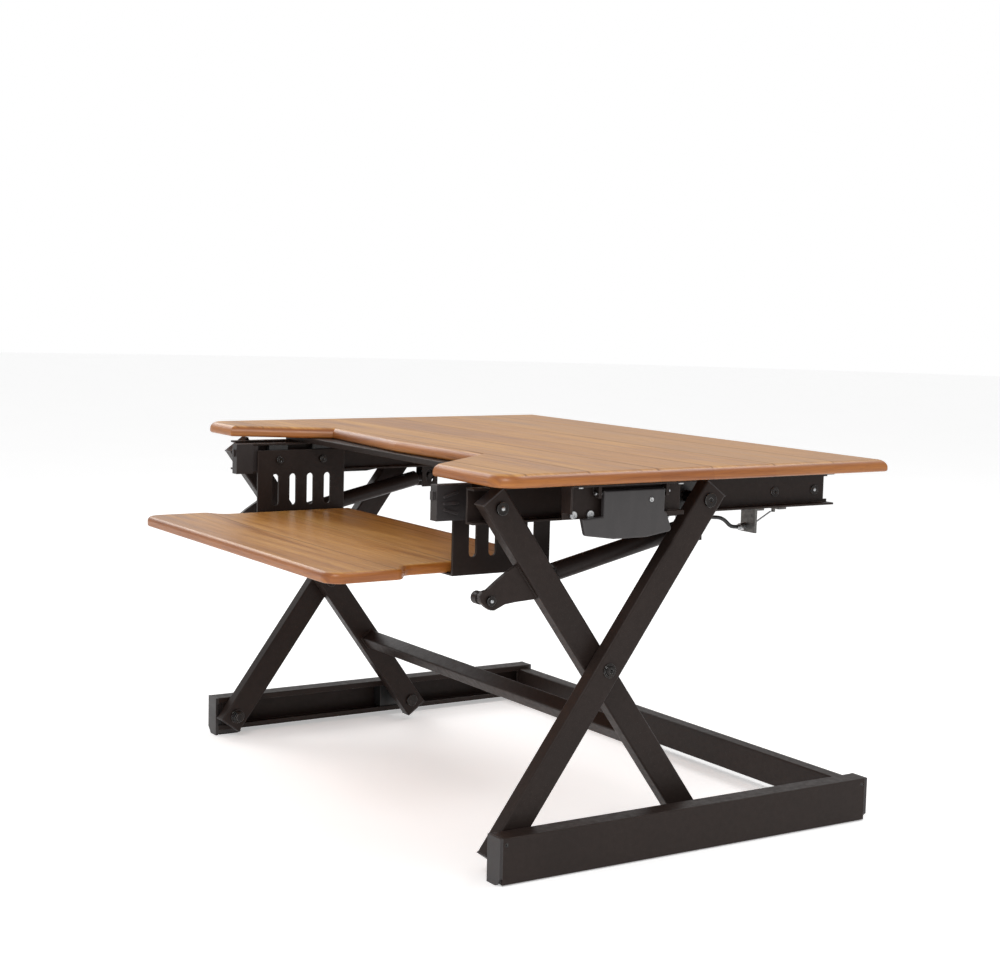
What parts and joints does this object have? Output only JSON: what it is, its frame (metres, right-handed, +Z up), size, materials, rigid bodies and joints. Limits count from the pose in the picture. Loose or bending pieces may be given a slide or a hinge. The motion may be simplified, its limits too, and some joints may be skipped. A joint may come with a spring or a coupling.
{
  "type": "standing desk converter",
  "caption": "Height-adjustable worktop with a cut-out front edge on a scissor frame with gas springs, squeeze grips and a slide-back keyboard tray, free-standing on a table.",
  "frame": {"origin": "middle of the footprint on the table, under the feet", "axes": "+X to the user's right, +Y to the back, +Z up"},
  "size_m": [0.8, 0.714, 0.46],
  "materials": {
    "frame_steel": "textured matte powder coat",
    "black_plastic": "fine grain moulded",
    "grip_plastic": "satin moulded",
    "nylon": "smooth",
    "rubber_feet": "matte",
    "zinc_bolts": "zinc plated",
    "black_bolts": "black oxide",
    "chrome_rod": "polished",
    "spring_paint": "gloss black paint",
    "cable_sheath": "smooth extruded",
    "wood_board": "oiled plank grain"
  },
  "bodies": {
    "base": {"base_rail_left": "frame_steel", "base_rail_right": "frame_steel", "base_end_caps": "black_plastic", "base_feet": "rubber_feet", "base_cap_screws": "black_bolts", "base_cross_bar": "frame_steel", "base_blocks": "frame_steel", "base_pivot_bolts": "black_bolts"},
    "outer_arms": {"outer_arm_left": "frame_steel", "outer_arm_right": "frame_steel", "outer_arm_plugs": "black_plastic", "cross_pivot_bolts": "black_bolts", "upper_glide_pins": "black_bolts"},
    "inner_arms": {"inner_arm_left": "frame_steel", "inner_arm_right": "frame_steel", "inner_arm_plugs": "black_plastic", "inner_cross_bar": "frame_steel", "spring_lug_left": "frame_steel", "spring_lug_right": "frame_steel", "spring_lug_bolts": "black_bolts", "lower_glide_pins": "black_bolts"},
    "top_frame": {"top_rail_left": "frame_steel", "top_rail_right": "frame_steel", "top_rail_bolts": "black_bolts", "top_cross_member_front": "frame_steel", "top_cross_member_rear": "frame_steel", "worktop": "wood_board", "worktop_screws": "zinc_bolts", "keyboard_rail_left": "frame_steel", "keyboard_rail_right": "frame_steel", "keyboard_rail_caps": "black_plastic", "spring_holder_left": "frame_steel", "spring_holder_right": "frame_steel", "grip_bracket_left": "frame_steel", "grip_bracket_right": "frame_steel", "grip_hinge_pins": "zinc_bolts", "bracket_screws": "zinc_bolts", "release_cables": "cable_sheath", "cable_ends": "zinc_bolts", "cable_brackets": "zinc_bolts"},
    "tray": {"keyboard_tray": "wood_board", "tray_bracket_left": "frame_steel", "tray_bracket_right": "frame_steel", "tray_glides": "nylon", "tray_fasteners": "black_bolts"},
    "spring_rod_left": {"spring_rod_left": "chrome_rod", "spring_rod_eye_left": "spring_paint"},
    "spring_tube_left": {"spring_tube_left": "spring_paint", "spring_rear_eye_left": "spring_paint"},
    "squeeze_grip_left": {"squeeze_grip_left": "grip_plastic"},
    "lower_glide_left": {"lower_glide_left": "nylon"},
    "upper_glide_left": {"upper_glide_left": "nylon"},
    "spring_rod_right": {"spring_rod_right": "chrome_rod", "spring_rod_eye_right": "spring_paint"},
    "spring_tube_right": {"spring_tube_right": "spring_paint", "spring_rear_eye_right": "spring_paint"},
    "squeeze_grip_right": {"squeeze_grip_right": "grip_plastic"},
    "lower_glide_right": {"lower_glide_right": "nylon"},
    "upper_glide_right": {"upper_glide_right": "nylon"}
  },
  "joints": [
    {"name": "lift", "type": "hinge", "parent": "base", "child": "outer_arms", "pos_m": [0, -0.181, 0.031], "axis": [1, 0, 0], "range_deg": [-46, 5]},
    {"name": "crossing", "type": "hinge", "parent": "outer_arms", "child": "inner_arms", "pos_m": [0, -0.0413, 0.22399], "axis": [1, 0, 0], "range_deg": [-10, 92]},
    {"name": "top_pivot", "type": "hinge", "parent": "inner_arms", "child": "top_frame", "pos_m": [0, -0.181, 0.41698], "axis": [1, 0, 0], "range_deg": [-46, 5]},
    {"name": "tray_slide", "type": "slide", "parent": "top_frame", "child": "tray", "axis": [0, 1, 0], "range_m": [0, 0.18]},
    {"name": "lower_glide_pivot_left", "type": "hinge", "parent": "inner_arms", "child": "lower_glide_left", "pos_m": [-0.3866, 0.09841, 0.031], "axis": [1, 0, 0], "range_deg": [-46, 5]},
    {"name": "upper_glide_pivot_left", "type": "hinge", "parent": "outer_arms", "child": "upper_glide_left", "pos_m": [-0.3217, 0.09841, 0.41698], "axis": [1, 0, 0], "range_deg": [-5, 46]},
    {"name": "spring_pivot_left", "type": "hinge", "parent": "inner_arms", "child": "spring_rod_left", "pos_m": [-0.3165, -0.1885, 0.31199], "axis": [1, 0, 0], "range_deg": [-48, 5.2]},
    {"name": "spring_stroke_left", "type": "slide", "parent": "spring_rod_left", "child": "spring_tube_left", "axis": [0, 0.9759, 0.2183], "range_m": [-0.084, 0.0091]},
    {"name": "grip_squeeze_left", "type": "hinge", "parent": "top_frame", "child": "squeeze_grip_left", "pos_m": [-0.382, 0.025, 0.433], "axis": [0, 1, 0], "range_deg": [0, 12], "stiffness_Nm_per_rad": 2, "springref_deg": -20.05},
    {"name": "lower_glide_pivot_right", "type": "hinge", "parent": "inner_arms", "child": "lower_glide_right", "pos_m": [0.3866, 0.09841, 0.031], "axis": [1, 0, 0], "range_deg": [-46, 5]},
    {"name": "upper_glide_pivot_right", "type": "hinge", "parent": "outer_arms", "child": "upper_glide_right", "pos_m": [0.3217, 0.09841, 0.41698], "axis": [1, 0, 0], "range_deg": [-5, 46]},
    {"name": "spring_pivot_right", "type": "hinge", "parent": "inner_arms", "child": "spring_rod_right", "pos_m": [0.3165, -0.1885, 0.31199], "axis": [1, 0, 0], "range_deg": [-48, 5.2]},
    {"name": "spring_stroke_right", "type": "slide", "parent": "spring_rod_right", "child": "spring_tube_right", "axis": [0, 0.9759, 0.2183], "range_m": [-0.084, 0.0091]},
    {"name": "grip_squeeze_right", "type": "hinge", "parent": "top_frame", "child": "squeeze_grip_right", "pos_m": [0.382, -0.025, 0.433], "axis": [0, -1, 0], "range_deg": [0, 12], "stiffness_Nm_per_rad": 2, "springref_deg": -20.05}
  ],
  "couplings": [
    {"joint": "crossing", "follows": "lift", "ratio": -2},
    {"joint": "top_pivot", "follows": "lift", "ratio": 1},
    {"joint": "lower_glide_pivot_left", "follows": "lift", "ratio": 1},
    {"joint": "upper_glide_pivot_left", "follows": "lift", "ratio": -1},
    {"joint": "spring_pivot_left", "follows": "lift", "ratio": 1.03},
    {"joint": "spring_stroke_left", "follows": "lift", "m_per_rad": 0.103},
    {"joint": "lower_glide_pivot_right", "follows": "lift", "ratio": 1},
    {"joint": "upper_glide_pivot_right", "follows": "lift", "ratio": -1},
    {"joint": "spring_pivot_right", "follows": "lift", "ratio": 1.03},
    {"joint": "spring_stroke_right", "follows": "lift", "m_per_rad": 0.103}
  ]
}
